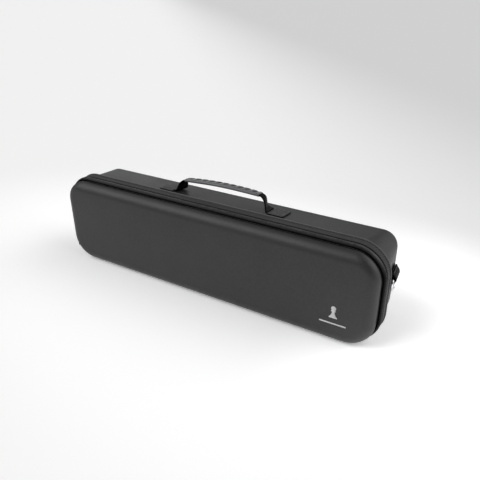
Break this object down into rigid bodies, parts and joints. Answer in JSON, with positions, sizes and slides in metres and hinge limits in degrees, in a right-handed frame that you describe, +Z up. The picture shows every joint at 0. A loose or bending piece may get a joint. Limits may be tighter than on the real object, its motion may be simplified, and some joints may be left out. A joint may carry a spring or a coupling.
{
  "type": "miniature carry case",
  "caption": "Zipped hard-shell carry case with a strap handle and D-rings, foam pockets for tabletop figures and a forward-opening lid.",
  "frame": {"origin": "on the floor under the middle of the case as it stands on its long side, on the body's flat bottom", "axes": "+X along the case's length, -Y out of the lid's face, +Y out of the rear face, +Z up towards the handle"},
  "size_m": [0.4122, 0.085, 0.1225],
  "materials": {
    "grained_skin": "satin",
    "lining_cloth": "matte",
    "zip_tape": "matte",
    "nylon_coil": "satin",
    "webbing": "matte",
    "grip_rubber": "satin",
    "pull_rubber": "matte",
    "plated_steel": "polished",
    "black_metal": "satin",
    "foam": "matte",
    "mesh_cloth": "matte"
  },
  "bodies": {
    "case": {"body_shell": "grained_skin", "body_lining": "lining_cloth", "body_zip_tape": "zip_tape", "body_zip_coil": "nylon_coil", "hinge_strip": "lining_cloth", "handle_strap": "webbing", "handle_grip": "grip_rubber", "handle_anchor_left": "grained_skin", "handle_anchor_right": "grained_skin", "ring_loop_left": "webbing", "ring_loop_right": "webbing", "foam_frame": "foam", "foam_base": "foam", "foam_divider_long": "foam", "foam_divider_1": "foam", "foam_divider_2": "foam", "foam_divider_3": "foam", "foam_divider_4": "foam", "foam_divider_5": "foam", "foam_divider_6": "foam", "foam_divider_7": "foam"},
    "lid": {"lid_shell": "grained_skin", "lid_lining": "lining_cloth", "lid_zip_tape": "zip_tape", "lid_zip_coil": "nylon_coil", "lid_foam_pad": "foam", "mesh_pocket": "mesh_cloth", "pocket_hem": "webbing"},
    "slider": {"zip_slider": "black_metal"},
    "pull": {"pull_link": "plated_steel", "pull_tab": "pull_rubber"},
    "d_ring_left": {"d_ring_left": "plated_steel"},
    "d_ring_right": {"d_ring_right": "plated_steel"}
  },
  "joints": [
    {"name": "lid_hinge", "type": "hinge", "parent": "case", "child": "lid", "pos_m": [0, -0.0242, -0.0003], "axis": [1, 0, 0], "range_deg": [0, 180], "deforming": ["hinge_strip"]},
    {"name": "slider_run", "type": "slide", "parent": "case", "child": "slider", "axis": [0, 0, 1], "range_m": [0, 0.028]},
    {"name": "pull_swing", "type": "hinge", "parent": "slider", "child": "pull", "pos_m": [-0.20595, -0.0242, 0.0405], "axis": [0, 1, 0], "range_deg": [0, 160]},
    {"name": "d_ring_right_swing", "type": "hinge", "parent": "case", "child": "d_ring_right", "pos_m": [0.2005, 0.01319, 0.0623], "axis": [0.1039, -0.9946, 0], "range_deg": [0, 150]},
    {"name": "d_ring_left_swing", "type": "hinge", "parent": "case", "child": "d_ring_left", "pos_m": [-0.2005, 0.01319, 0.0623], "axis": [0.1039, 0.9946, 0], "range_deg": [0, 150]}
  ]
}
